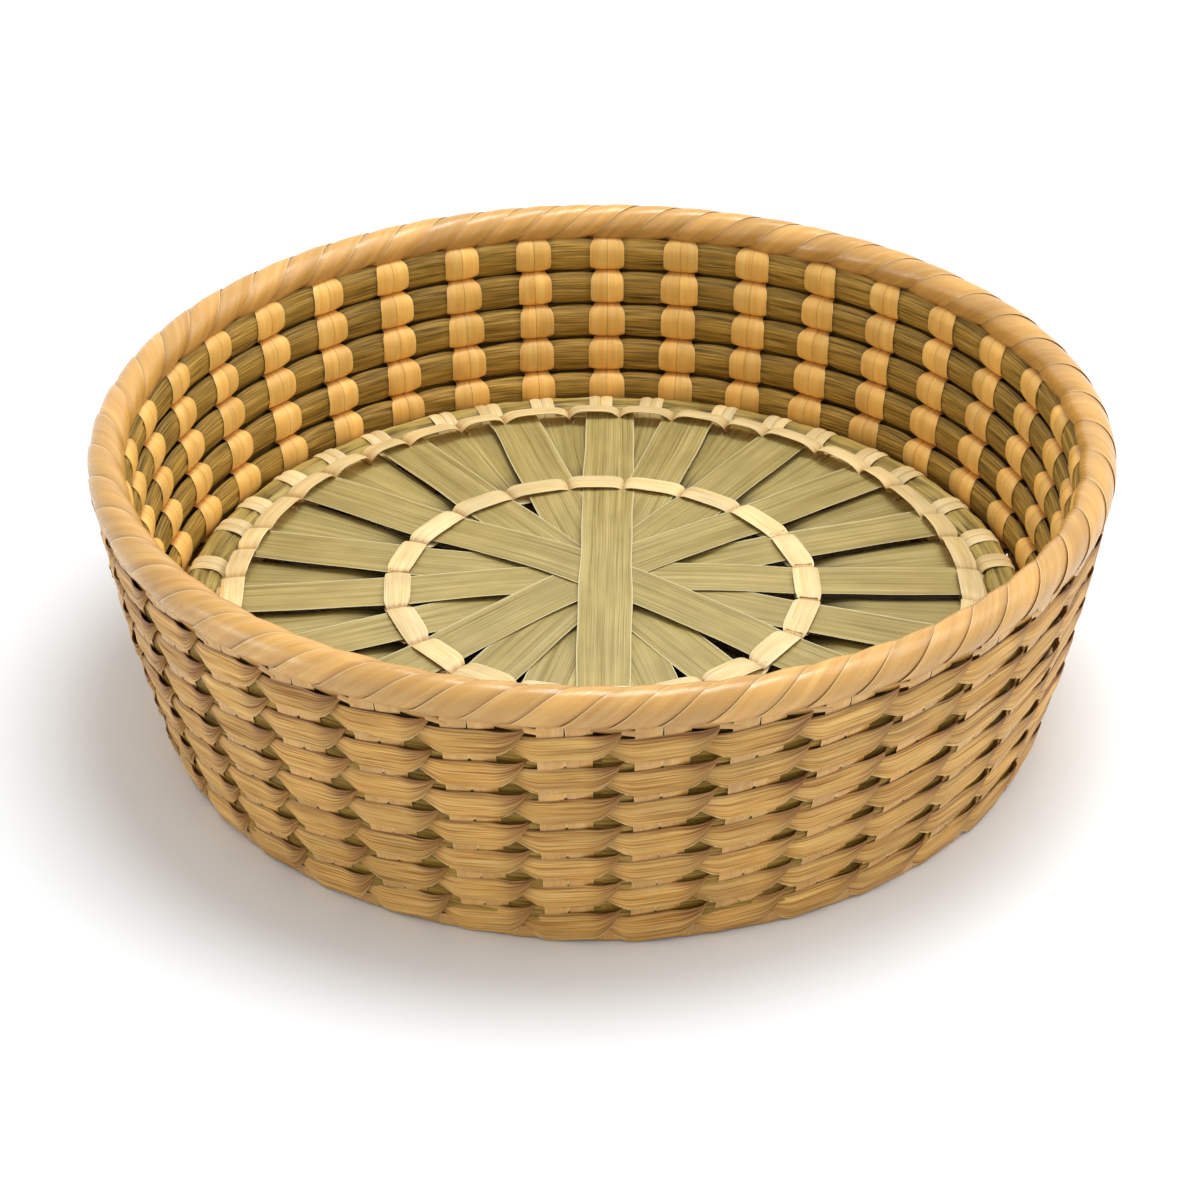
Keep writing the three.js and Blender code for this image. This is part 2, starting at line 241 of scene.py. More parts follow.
# Straps of the floor
STRAP_WIDTH = 0.0132
STRAP_UNEVEN = 0.02  # share by which the widths differ
STRAP_ORDER = [5, 8, 2, 0, 3, 9, 7, 6, 4, 1]  # from the top down, in steps of one spoke from the +X side
STRAP_TILT = [2.8, 3.2, 3.0, 3.4, 3.0, -0.8, -3.0, -0.8, 1.4, 2.7]  # in degrees, off an even star
STRAP_SHIFT = [0.5, 1.3, 1.6, 0.9, 0.5, -0.9, 0.0, 0.5, -0.7, 0.6]  # in millimetres, sideways from the axis
STRAP_STEP = 0.0004  # height from one strap to the next where they cross
STRAP_INSET = 0.0020  # of their ends, which stay under the ring, from the floor's edge
STRAP_STEPS = 97
STRAP_EDGES = ((0.00015, 90), (0.0001, 210))  # uneven by this much, at radians to the metre
STRAP_RIDGES = 5
STRAP_RIDGE = (0.0, 0.00005)
FLOOR_DOME = 0.0017
FILLER_LAP = 0.0010  # of a filler under the spokes at its sides
FILLER_LEAST = 0.85  # least width of a filler, as a share of a strap's
FILLER_DROP = 0.0020  # of the fillers below the spokes
FILLER_DIP = 0.0018  # and how much lower they go inside the inner ring
FILLER_DIP_START = 0.01  # outside that ring
FILLER_START = 0.034
FILLER_MIDDLE = 0.078  # distance out at which a filler is midway between its two spokes
FILLER_UNEVEN = math.radians(0.4)
FILLER_STEPS = 50
FILLER_DARK = (0.014, -0.002)  # outwards from the inner ring's edge, where painted shade turns fillers dark
# painted shade along the fillers' sides, next to the spokes
FILLER_SIDE_SHADE, FILLER_SIDE_RANGE = 0.8, (0.80, 1.0)

# Rings of the floor
RING_TURN = math.radians(2.0)  # of the stitches of the rings, which follow the straps
INNER_WIDTH = 0.0066
INNER_ARCH = 0.0007  # of the stitches over the straps
INNER_UNDER_ARCH = 0.0006  # and under them
INNER_LIFT = 0.0001  # of their inner edges, and as much down at their outer edges
INNER_UNEVEN = 0.15  # share of a stitch by which the joints are off even places
OUTER_WIDTH = 0.0060
OUTER_INSET = 0.0017  # of the outer ring from the floor's edge
OUTER_ARCH = 0.0018
OUTER_UNDER_ARCH = 0.0008
OUTER_LIFT = 0.0006
OUTER_SETTLE = 0.0003  # of its upper stitches into the straps
OUTER_UNEVEN = 0.35
UNDER_LAP = 0.0004  # of the ring below it over the floor's edge, up to the coil
RING_STEPS = 25
RING_REACH = 1.05  # share of the way to its joints that a stitch goes
RING_UNEVEN = 0.002  # share by which the radii differ
RING_NECK, RING_NECK_POWER = 0.32, 6  # share by which a stitch narrows at its ends, and how sharply
RING_DIVE, RING_DIVE_POWER = 0.0010, 8  # of those ends into the floor
RING_ARCH_POWER = 4
RING_CROWN = 0.00020
RING_SLOPE = 0.0003  # along a stitch, so that its end lies over the next one
# painted shade at the ends of a stitch, where they dive into the floor
RING_END_SHADE, RING_END_RANGE = 0.75, (0.80, 1.0)

# Coil at the floor's edge
BASE_STITCHES = 40
BASE_COIL = 0.0034  # half depth of the solid base coil
BASE_IN = 0.0003  # of the visible coil's middle from the solid one
BASE_HALF_DEPTH = 0.0042
BASE_HALF_HEIGHT = 0.0026
BASE_DROP = 0.0009  # of the visible coil's middle below the solid one's
BASE_STITCH_WIDTH = 0.0062
BASE_STITCH_ENDS = (math.radians(-85), math.radians(265))
BASE_UNEVEN = 0.1  # share of their spacing by which they are off even places
# painted shade along the seam of each base stitch
BASE_SEAM_SHADE = 0.3
WOBBLE_RATES = (2.4, 5.1)

# Stage, light and camera
GROUND_SIZE = 8.0
GROUND_COLOR = (0.935, 0.97, 1.0, 1)  # cool, against the basket's warm light on it
GROUND_BOUNCE = 0.76  # colour with which the ground lights the basket
GROUND_FADE = (0.5, 1.8)  # distances over which the ground turns plain white, away from the shadow
GROUND_GLOW = 0.5
WORLD_LIGHT = 0.66
WORLD_SLOPE = (0.24, 0.24, 0.10)  # share by which the light grows to the right, back and top
WHITE = (1, 1, 1, 1)
LAMPS = [  # name, place, diameter and power in watts
    ("key", (0.14, 0.12, 1.30), 0.60, 8.0),
    ("right", (1.0, 0.0, 1.0), 1.0, 4.0),
    ("left", (-1.2, -0.40, 0.24), 0.4, 2.0),
]
CAMERA_DISTANCE = 0.882  # from the middle of the rim
CAMERA_HEIGHT = math.radians(29.05)  # of the camera above the rim, seen from its middle
CAMERA_DIP = math.radians(2.57)  # of the picture's centre below the middle of the rim
CAMERA_PAN = math.radians(0.04)
CAMERA_LENS = 108.5

# Places round a strip's section: across its upper side, closer at its edges, then back underneath
ACROSS = np.sin(np.linspace(-0.5, 0.5, STRIP_PLACES) * math.pi)
UNDER = np.array([UNDERSIDE, 0.0, -UNDERSIDE])
PLACE = np.concatenate([ACROSS, UNDER])
DEPTH = np.concatenate([np.zeros(len(ACROSS)), np.ones(len(UNDER))])


def ease(low, high, value):
    """Goes smoothly from 0 at low to 1 at high."""
    share = np.clip((value - low) / (high - low), 0, 1)
    return share * share * (3 - 2 * share)


def polar(radius, angle, height):
    """Points at radii, angles and heights round the basket's axis."""
    radius, angle, height = np.broadcast_arrays(radius, angle, height)
    return np.stack([radius * np.cos(angle), radius * np.sin(angle), height], axis=-1)


def bulge(value, power):
    """A sine or cosine, made fuller so that a round section gets boxier."""
    return np.sign(value) * np.abs(value) ** power


def oval_normal(turn, angle, half_depth, half_height):
    """Outward directions on an oval section, at angles round it, for an angle round the basket."""
    normal = polar(np.cos(turn) / half_depth, angle, np.sin(turn) / half_height)
    return normal / np.linalg.norm(normal, axis=1)[:, None]


def crowned(height):
    """The rise of a strip that is highest along its middle line."""
    return lambda t, x: height * (1 - x * x) + 0 * t


def ridges(waves, heights, x):
    """Fine ridges along a strip. waves has a random size and phase for each of them."""
    return sum(
        (heights[0] + heights[1] * size) * np.cos((RIDGE_WAVES + n) * math.pi * x + 2 * math.pi * phase)
        for n, (size, phase) in enumerate(waves)
    )


class Piece:
    """Swept bodies that become one mesh object."""

    def __init__(self, seed):
        self.random = np.random.default_rng(seed)
        self.points = []
        self.faces = []
        self.fibre = []
        self.finishes = []
        # tone is a random tone for each strip, edge says where its painted highlight goes, painted_shade how
        # much painted shade darkens it
        self.marks = {"tone": [], "edge": [], "painted_shade": []}
        self.total = 0

    def sweep(self, rings, along, around, edge, painted_shade, finish=0, closed=False):
        """Joins rings of points into a closed body, with fibre coordinates along and around it."""
        count, corners = rings.shape[:2]
        spans = count if closed else count - 1
        i, j = (grid.ravel() for grid in np.mgrid[0:spans, 0:corners])
        turns = [(0, 0), (1, 0), (1, 1), (0, 1)]
        quads = np.stack([(i + a) % count * corners + (j + b) % corners for a, b in turns], axis=1)
        fibre = np.stack([np.stack([along[i + a], around[j + b]], axis=1) for a, b in turns], axis=1)
        points = rings.reshape(-1, 3)
        a, b, c, d = (points[quads[:, k]] - points.mean(axis=0) for k in range(4))
        volume = np.sum(a * np.cross(b, c)) + np.sum(a * np.cross(c, d))
        loop = np.arange(corners)
        caps = [] if closed else [loop, (count - 1) * corners + loop[::-1]]
        cap_fibre = [] if closed else [(along[0], loop), (along[-1], loop[::-1])]
        flip = -1 if volume < 0 else 1
        self.faces += (quads[:, ::flip] + self.total).tolist()
        self.fibre.append(fibre[:, ::flip].reshape(-1, 2))
        for cap, (start, order) in zip(caps, cap_fibre):
            self.faces.append((cap[::flip] + self.total).tolist())
            self.fibre.append(np.stack([np.full(corners, start), around[order[::flip]]], axis=1))
        self.finishes += [finish] * (len(quads) + len(caps))
        self.points.append(points)
        self.marks["tone"].append(np.full(len(points), self.random.random()))
        self.marks["edge"].append(np.broadcast_to(edge, (count, corners)).ravel())
        self.marks["painted_shade"].append(np.broadcast_to(painted_shade, (count, corners)).ravel())
        self.total += len(points)

    def strip(self, left, right, normal, rise, painted_shade, finish=0, edge=np.abs):
        """A leaf strip between two edge lines. rise and painted_shade take the share along it and the place
        across, and edge gives where its painted highlight goes.
        """
        share = np.linspace(0, 1, len(left))[:, None]
        lift = rise(share, PLACE[None]) - DEPTH * LEAF
        cross = (PLACE + 1)[None, :, None] / 2
        rings = left[:, None] * (1 - cross) + right[:, None] * cross + normal[:, None] * lift[..., None]
        steps = np.linalg.norm(np.diff((left + right) / 2, axis=0), axis=1)
        along = np.concatenate([[0], np.cumsum(steps)]) + self.random.random()
        width = np.linalg.norm(right - left, axis=1).max()
        around = (np.append(PLACE, PLACE[0]) + 1) / 2 * width + self.random.random()
        shade = np.clip(painted_shade(share, PLACE[None]) + 0 * lift, 0, 1)
        self.sweep(rings, along, around, edge(PLACE), shade, finish)

    def make(self, name, nodes, materials):
        """Makes the object, which stands for the named solids and rides with them."""
        mesh = bpy.data.meshes.new(name)
        mesh.from_pydata(np.concatenate(self.points), [], self.faces)
        layer = mesh.uv_layers.new(name="fibre")
        layer.uv.foreach_set("vector", np.concatenate(self.fibre).astype(np.float32).ravel())
        for mark, values in self.marks.items():
            attribute = mesh.attributes.new(mark, "FLOAT", "POINT")
            attribute.data.foreach_set("value", np.concatenate(values).astype(np.float32))
        for material in materials:
            mesh.materials.append(material)
        mesh.polygons.foreach_set("material_index", self.finishes)
        mesh.shade_smooth()
        mesh.set_sharp_from_angle(angle=SHARP_ANGLE)
        thing = bpy.data.objects.new(name, mesh)
        bpy.context.collection.objects.link(thing)
        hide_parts(*nodes)
        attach(thing, "root")


# Materials


def linear(red, green, blue):
    """A colour given as 0 to 255 in sRGB, as Blender's linear values."""
    values = [v / 255 for v in (red, green, blue)]
    return [v / 12.92 if v <= 0.04045 else ((v + 0.055) / 1.055) ** 2.4 for v in values] + [1]


class Nodes:
    """A material's node tree, built one node at a time."""

    def __init__(self, name):
        self.material = bpy.data.materials.new(name)
        self.material.use_nodes = True
        self.tree = self.material.node_tree
        self.shader = self.tree.nodes["Principled BSDF"]

    def set(self, socket, value):
        if isinstance(value, bpy.types.NodeSocket):
            self.tree.links.new(value, socket)
        else:
            socket.default_value = value

    def add(self, kind, inputs, **settings):
        node = self.tree.nodes.new(kind)
        for key, value in settings.items():
            setattr(node, key, value)
        for key, value in inputs.items():
            self.set(node.inputs[key], value)
        return node

    def mark(self, name):
        return self.add("ShaderNodeAttribute", {}, attribute_name=name).outputs["Fac"]

    def noise(self, vector, along, across, detail):
        """Noise that is stretched along the fibres. along and across are in cells to the metre."""
        mapped = self.add("ShaderNodeMapping", {"Vector": vector, "Scale": (along, across, 1)})
        made = self.add(
            "ShaderNodeTexNoise",
            {"Vector": mapped.outputs[0], "Scale": 1.0, "Detail": detail},
            noise_dimensions="2D",
        )
        return made.outputs["Fac"]

    def ramp(self, factor, stops):
        node = self.add("ShaderNodeValToRGB", {"Fac": factor})
        elements = node.color_ramp.elements
        while len(elements) < len(stops):
            elements.new(0.5)
        for element, (position, color) in zip(elements, stops):
            element.position = position
            element.color = linear(*color)
        return node.outputs["Color"]

    def span(self, value, low, high, start, end):
        node = self.add(
            "ShaderNodeMapRange",
            {"Value": value, "From Min": low, "From Max": high, "To Min": start, "To Max": end},
            interpolation_type="SMOOTHSTEP",
        )
        return node.outputs[0]

    def mix(self, factor, first, second):
        node = self.add("ShaderNodeMix", {}, data_type="RGBA")
        self.set(node.inputs["Factor"], factor)
        self.set(node.inputs[MIX_FIRST], first)
        self.set(node.inputs[MIX_SECOND], second)
        return node.outputs[MIX_RESULT]

    def times(self, first, second):
        return self.add("ShaderNodeMath", {0: first, 1: second}, operation="MULTIPLY").outputs[0]

    def brighten(self, color, value):
        return self.add("ShaderNodeHueSaturation", {"Color": color, "Value": value}).outputs[0]


def leaf_material(
    name, dark, base, light, painted_highlight, painted_shade, roughness, shine, along, across, contrast, depth, edge=0.93
):
    """Dry leaf or fibre: streaks along the strip, broad bands, painted shade where the painted_shade mark
    asks for it, and a painted highlight from edge outwards.
    """
    nodes = Nodes(name)
    fibre = nodes.add("ShaderNodeUVMap", {}, uv_map="fibre").outputs["UV"]
    fine = nodes.noise(fibre, along, across, STREAK_DETAIL)
    band = nodes.noise(fibre, along / BAND_STRETCH[0], across / BAND_STRETCH[1], BAND_DETAIL)
    patch = nodes.noise(fibre, *PATCH_CELLS, BAND_DETAIL)
    spread = STREAK_SPREAD / contrast
    # the painted shade colour is also that of the darkest streaks
    deepest = (STREAK_DARK - DEEPEST_SPREAD * spread, painted_shade)
    color = nodes.ramp(fine, [deepest, (STREAK_DARK - spread, dark), (0.5, base), (0.5 + spread, light)])
    color = nodes.mix(BAND_SHARE, color, nodes.ramp(band, list(zip(BAND_STOPS, (dark, base, light)))))
    color = nodes.brighten(color, nodes.span(patch, *NOISE_SPAN, *PATCH_LIGHT))
    color = nodes.brighten(color, nodes.span(nodes.mark("tone"), 0.0, 1.0, *TONE_LIGHT))
    # edge is the share across a strip from which the painted highlight comes in
    color = nodes.mix(nodes.span(nodes.mark("edge"), edge, 1.0, 0.0, HIGHLIGHT_SHARE), color, linear(*painted_highlight))
    painted_shading = nodes.times(nodes.mark("painted_shade"), nodes.span(fine, *SHADE_NOISE, *SHADE_SHARE))
    color = nodes.mix(painted_shading, color, linear(*painted_shade))
    nodes.set(nodes.shader.inputs["Base Color"], color)
    gloss = nodes.span(fine, *NOISE_SPAN, roughness + GLOSS_SWING, roughness - GLOSS_SWING)
    nodes.set(nodes.shader.inputs["Roughness"], gloss)
    nodes.shader.inputs["Specular IOR Level"].default_value = shine
    bump = nodes.add("ShaderNodeBump", {"Height": fine, "Strength": BUMP_STRENGTH, "Distance": depth})
    nodes.set(nodes.shader.inputs["Normal"], bump.outputs[0])
    return nodes.material


# colours of each material: dark, base and light streaks, the painted highlight, then the painted shade
COIL = leaf_material(
    "coil_fibre", (100, 78, 28), (163, 127, 46), (200, 160, 78), (163, 127, 46), (54, 38, 10),
    roughness=0.55, shine=0.35, along=60, across=1900, contrast=1.5, depth=0.0005,
)
BASE = leaf_material(
    "base_fibre", (150, 127, 60), (196, 171, 90), (216, 193, 120), (196, 171, 90), (70, 50, 16),
    roughness=0.5, shine=0.4, along=60, across=1900, contrast=1.4, depth=0.0004,
)
STITCH = leaf_material(
    "stitch_leaf", (242, 181, 90), (252, 198, 104), (255, 217, 134), (255, 222, 150), (160, 88, 22),
    roughness=0.36, shine=0.45, along=60, across=3000, contrast=0.6, depth=0.0001,
)
SCALE = leaf_material(
    "scale_leaf", (168, 110, 40), (225, 171, 86), (243, 201, 121), (254, 228, 168), (108, 52, 6),
    roughness=0.5, shine=0.4, along=50, across=2300, contrast=1.6, depth=0.0003, edge=0.84,
)
RIM = leaf_material(
    "rim_leaf", (207, 148, 69), (222, 168, 86), (239, 193, 116), (253, 226, 166), (116, 62, 14),
    roughness=0.27, shine=0.75, along=60, across=2400, contrast=0.5, depth=0.00008,
)
STRAP = leaf_material(
    "floor_leaf", (146, 126, 65), (182, 163, 97), (206, 189, 130), (238, 228, 182), (20, 14, 6),
    roughness=0.46, shine=0.5, along=25, across=4200, contrast=1.2, depth=0.0002,
)
RING = leaf_material(
    "ring_leaf", (228, 194, 124), (243, 218, 158), (252, 234, 188), (254, 240, 204), (150, 90, 30),
    roughness=0.42, shine=0.4, along=60, across=2600, contrast=1.0, depth=0.0002,
)
LACING = [STITCH, SCALE, RIM]  # of stitches, scales and tabs
SCALE_FINISH, TAB_FINISH = 1, 2  # places in that list


# Wall


def row_place(row):
    """Radius and height of the centre of a wall coil's solid."""
    low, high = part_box(f"wall_coil_{row}")
    return high[0] - COIL_DEPTH / 2, (low[2] + high[2]) / 2


ROW_PITCH = row_place(2)[1] - row_place(1)[1]


def wall_lean(row):
    """How far the wall goes out from one row to the next."""
    low = min(row, ROWS - 1)
    return row_place(low + 1)[0] - row_place(low)[0]


def coil_place(row):
    """Radius and height of the centre of the visible coil, on the wall's slope. The lowest rise less."""
    radius, height = row_place(row)
    rise = COIL_RISE * min(1, (row + 1) / (FULL_RISE_ROW + 1))
    return radius + wall_lean(row) * rise / ROW_PITCH, height + rise


def hoop_angles(count, corners):
    """Angles round the basket and angles round a hoop's section."""
    angle = 2 * math.pi * np.arange(count) / count + FRONT
    return angle[:, None], (2 * math.pi * np.arange(corners) / corners)[None]


def close_hoop(piece, rings, radius, half_height, painted_shade):
    """Sweeps a hoop all round the basket, with its fibres along it."""
    count, corners = rings.shape[:2]
    along = 2 * math.pi * radius * np.arange(count + 1) / count
    around = np.arange(corners + 1) * (2 * math.pi * half_height / corners)
    piece.sweep(rings, along, around, 0.0, painted_shade, closed=True)


def coil(piece, radius, height, depths, half_height, columns, turn=0, drop=(0, 0)):
    """A hoop of fibres, squeezed at its stitches and fluted along its length, with painted shade in the
    creases towards the next coils and beside the stitches.

    turn is where the first stitch is, from the front. drop moves the outer side in and down."""
    angle, section = hoop_angles(columns * COIL_STEPS, COIL_CORNERS)
    outside = ease(*COIL_TURNOVER, np.cos(section))
    column = (0.5 + 0.5 * np.cos(columns * (angle - FRONT - turn))) ** 2
    flutes = 0
    for waves in FLUTE_WAVES:
        twist = piece.random.integers(-FLUTE_TWIST, FLUTE_TWIST)
        phase = piece.random.random() * 2 * math.pi
        flutes = flutes + FLUTE * np.cos(waves * section + twist * angle + phase)
    swell = 1 - COIL_PINCH * column * (1 - outside)
    depth = depths[0] + (depths[1] - depths[0]) * outside
    rounding = COIL_ROUNDING - COIL_BLUNTING * outside
    out = swell * (depth + flutes) * bulge(np.cos(section), rounding) - drop[0] * outside
    up = swell * (half_height + flutes) * bulge(np.sin(section), COIL_ROUNDING) - drop[1] * outside
    # painted shade in the creases towards the next coils and beside the stitches
    crease = ease(*CREASE, np.abs(np.sin(section))) * (CREASE_SHADE - CREASE_RELIEF * outside)
    painted_shade = crease + PINCH_SHADE * ease(*PINCH_RANGE, column) * (1 - outside)
    close_hoop(piece, polar(radius + out, angle, height + up), radius, half_height, np.clip(painted_shade, 0, 1))


def loop_strand(piece, radius, height, angle, sizes, ends, offsets, crown, neck, seam):
    """A strand round a coil. neck narrows it between the rows, where painted shade darkens it, and seam is
    how much painted shade darkens its first edge.
    """
    half_depth, half_height = sizes
    turn = np.linspace(*ends, STITCH_STEPS)
    out = half_depth * bulge(np.cos(turn), STITCH_ROUNDING)
    up = half_height * bulge(np.sin(turn), STITCH_ROUNDING)
    middle = polar(radius + out, angle, height + up)
    tangent = np.array([-math.sin(angle), math.cos(angle), 0])
    normal = oval_normal(turn, angle, half_depth, half_height)
    share = 1 - neck * np.abs(np.sin(turn)) ** NECK_POWER
    left, right = (middle + tangent * (offset * share)[:, None] for offset in offsets)
    # painted shade where the strand goes between the rows
    deep = (NECK_SHADE if neck else 0.0) * ease(*NECK_RANGE, np.abs(np.sin(turn)))[:, None]
    piece.strip(
        left,
        right,
        normal,
        crown,
        lambda t, x: deep + seam * ease(*SEAM_RANGE, x),
        # a painted highlight along the strand's outer edge
        edge=lambda x: np.maximum(x, 0),
    )


def strand_rise(t, x):
    """The rise of one of a stitch's two strands, whose first edge is at the middle of the stitch."""
    return STITCH_CROWN * (1 - (x + 1) ** 2 / 4) + STRAND_CROWN * (1 - x * x)


def stitch(piece, radius, height, angle):
    """Two strands side by side, over the coil, down its inner face and back under it."""
    sizes = (STITCH_HALF_DEPTH, STITCH_HALF_HEIGHT)
    for side in (-1, 1):
        width = STITCH_WIDTH / 2 * (1 + STITCH_UNEVEN * piece.random.normal())
        offsets = (side * STITCH_SEAM, side * width)
        form = (sizes, STITCH_ENDS, offsets, strand_rise, STITCH_NECK, SEAM_SHADE)
        loop_strand(piece, radius, height, angle, *form)


def scale_edges(place, drop):
    """Upper and lower edge of a scale, in rows below the line between its row and the next above."""
    tilt = SCALE_TILT * place
    upper = tilt - SCALE_BOW * np.clip(place / SCALE_RIGHT, 0, None) ** 2
    left_share = np.clip((-SCALE_SHOULDER - place) / LEFT_LENGTH, 0, None)
    left = (LEFT_RISE + drop / 2) * left_share**LEFT_POWER
    right_share = np.clip((place - SCALE_SHOULDER) / RIGHT_LENGTH, 0, None)
    right = (RIGHT_RISE + drop) * right_share**RIGHT_POWER
    return upper, SCALE_HEIGHT + drop + tilt - left - right


def scale(piece, radius, top, angle, lean, drop):
    """A leaf-shaped strip. Its right end lies over the next scale and its left end under the last."""
    place = np.linspace(SCALE_LEFT, SCALE_RIGHT, SCALE_STEPS)
    draw = piece.random.normal(size=3)
    upper, lower = scale_edges(place, drop)
    around = angle + PITCH * (place + SCALE_SLIP * draw[0])
    level = top + ROW_PITCH * SCALE_LEVEL * draw[1]
    left = polar(radius, around, level - ROW_PITCH * upper)
    right = polar(radius, around, np.maximum(LEAF, level - ROW_PITCH * lower))
    waves = piece.random.random((SCALE_RIDGES, 2))
    ends = LAP_RISE * ease(*LAP_RANGE, place) - LAP_SINK * ease(*SINK_RANGE, place)
    ends = ends - TIP_SINK * ease(*TIP_RANGE, place)
    free = ease(*FREE_RANGE, np.abs(place))[:, None]
    covered = TUCK * (1 - ease(*TUCK_RANGE, place))

    def rise(t, x):
        share = (x + 1) / 2
        down = upper[:, None] + (lower - upper)[:, None] * share
        tucked = covered[:, None] * (1 - np.sin(math.pi / 2 * np.clip(share / TUCK_SHARE, 0, 1)))
        curled = CURL * ease(*CURL_RANGE, share)
        sloped = SCALE_OUT + lean * (ROW_MIDDLE - down) - tucked - curled
        return sloped + ends[:, None] + ridges(waves, SCALE_RIDGE, x) + SCALE_LOOSE * draw[2]

    def painted_shade(t, x):
        right = ease(*RIGHT_RANGE, place)[:, None] * (RIGHT_SHADE + CORNER_SHADE * ease(*CORNER_RANGE, x))
        left = LEFT_SHADE * ease(*LEFT_RANGE, place)[:, None]
        return right + left + UPPER_SHADE * ease(*UPPER_RANGE, x)

    normal = polar(1.0, around, 0.0)
    # a painted highlight along the lower edge, where it is free of the tabs
    piece.strip(left, right, normal, rise, painted_shade, SCALE_FINISH, edge=lambda x: np.maximum(x, 0) * free)


def tab(piece, radius, top, angle, lean, places, bottom, tilt, edge):
    """The end of a stitch strand, which shows below a scale. places gives its edges, nick first."""
    down = np.linspace(0, 1, TAB_STEPS)
    opened = ease(*NICK_RANGE, down)
    deep = radius + SCALE_OUT - TAB_SUNK - TAB_SLOPE * down
    left, right = (
        polar(
            deep + lean * (ROW_MIDDLE - TAB_TOP - (bottom - TAB_TOP) * down),
            angle + PITCH * place * (opened if abs(place) == NICK else 1),
            top - ROW_PITCH * (TAB_TOP + (bottom - TAB_TOP) * down + tilt * place),
        )
        for place in places
    )
    normal = polar(np.ones(len(down)), angle, 0.0)

    def painted_shade(t, x):
        return TAB_TOP_SHADE * ease(*TAB_TOP_RANGE, t) + TAB_END_SHADE * ease(*TAB_END_RANGE, t) + 0 * x

    piece.strip(left, right, normal, crowned(TAB_CROWN), painted_shade, TAB_FINISH, edge)


def wall_row(row):
    """The coil and the lacing of one row of the wall. The lowest row is the foot."""
    foot = row == 1
    radius, height = coil_place(row)
    fibre = Piece(COIL_SEED + row)
    half_height = COIL_HALF_HEIGHT if row > LOW_ROWS else min(LOW_COIL_HALF_HEIGHT, height - 2 * LEAF)
    depths = (COIL_INNER, FOOT_COIL_OUTER if foot else COIL_OUTER)
    down = max(0, min(COIL_DROP, height - half_height - 2 * LEAF))
    lean = wall_lean(row)
    drop = (lean * down / ROW_PITCH, down)
    coil(fibre, radius, height, depths, half_height, COLUMNS, COLUMN_TURN, drop)
    fibre.make(f"coil_{row}", [f"wall_coil_{row}"], [COIL])
    lacing = Piece(LACING_SEED + row)
    out, middle = row_place(row)
    top = middle + SCALE_TOP + SCALE_CREEP * (ROWS - row)
    ends = [FOOT_ENDS] if foot else [(-NICK, -TAB), (NICK, TAB)]
    # the tabs' sides get a painted highlight, the foot's strip none
    form = (FOOT_BOTTOM, 0, np.zeros_like) if foot else (TAB_BOTTOM, SCALE_TILT, np.abs)
    for column in range(COLUMNS):
        angle = column * PITCH + FRONT
        stitch(lacing, radius, height, angle + COLUMN_TURN)
        scale(lacing, out, top, angle + SCALE_TURN, lean, FOOT_DROP if foot else 0)
        for places in ends:
            tab(lacing, out, top, angle + SCALE_TURN, lean, places, *form)
    lacing.make(f"lacing_{row}", [f"wall_lacing_{row}"], LACING)


# Rim


def rim_place():
    """Radius and height of the centre of the rim's roll."""
    low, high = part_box("rim_core")
    return high[0] - RIM_CORE + RIM_OUT, (low[2] + high[2]) / 2 + RIM_UP


def rim_foot(radius, height):
    """Radius and height of the roll's outer lower edge, where its strips start."""
    return radius + RIM_HALF_DEPTH * math.cos(RIM_START), height + RIM_HALF_HEIGHT * math.sin(RIM_START)


def roll(piece, radius, height, sunk, corners):
    """A plain oval hoop, sunk by a length into the oval on which the strips lie, evenly darkened by painted
    shade.
    """
    half_depth, half_height = RIM_HALF_DEPTH - sunk, RIM_HALF_HEIGHT - sunk
    angle, section = hoop_angles(COLUMNS * RIM_STEPS, corners)
    rings = polar(radius + half_depth * np.cos(section), angle, height + half_height * np.sin(section))
    close_hoop(piece, rings, radius, half_height, RIM_BED_SHADE)


def strip_turn(place):
    """Angle round the basket at which a strip of the rim starts, for a place counted in strips."""
    even = FRONT + RIM_STRETCH * SCALE_TURN + place * 2 * math.pi / RIM_STRIPS
    return math.atan2(RIM_STRETCH * math.sin(even), math.cos(even))


def rim_strip(piece, radius, height, index):
    """One strip wound slantwise over the rim, from its outer lower edge to its inner lower edge."""
    turn = np.linspace(RIM_START, RIM_END, RIM_STRIP_STEPS)
    start = strip_turn(index)
    width = (strip_turn(index + 1) - start) % (2 * math.pi)
    advance = start + RIM_ADVANCE * (turn - RIM_START) / (2 * math.pi)
    gather = RIM_GATHER * ease(RIM_GATHER_START, RIM_END, turn)
    left_turn = advance - width * (RIM_OVERLAP - gather * (index % 2))
    right_turn = advance + width * (1 + RIM_OVERLAP - gather * (1 - index % 2))
    out = radius + RIM_HALF_DEPTH * np.cos(turn)
    up = height + RIM_HALF_HEIGHT * np.sin(turn)
    tilt = RIM_TILT + RIM_TILT_UNEVEN * piece.random.normal()
    crown = RIM_CROWN + RIM_CROWN_UNEVEN * piece.random.normal()
    inner = RIM_INNER_SHADE * ease(RIM_INNER_START, RIM_END, turn)[:, None]
    piece.strip(
        polar(out, left_turn, up),
        polar(out, right_turn, up),
        oval_normal(turn, (left_turn + right_turn) / 2, RIM_HALF_DEPTH, RIM_HALF_HEIGHT),
        lambda t, x: crown * (1 - x * x) - tilt * x,
        lambda t, x: inner + RIM_GROOVE_SHADE * ease(*RIM_GROOVE_RANGE, x),
        # a painted highlight along the raised first edge
        edge=lambda x: np.maximum(-x, 0),
    )


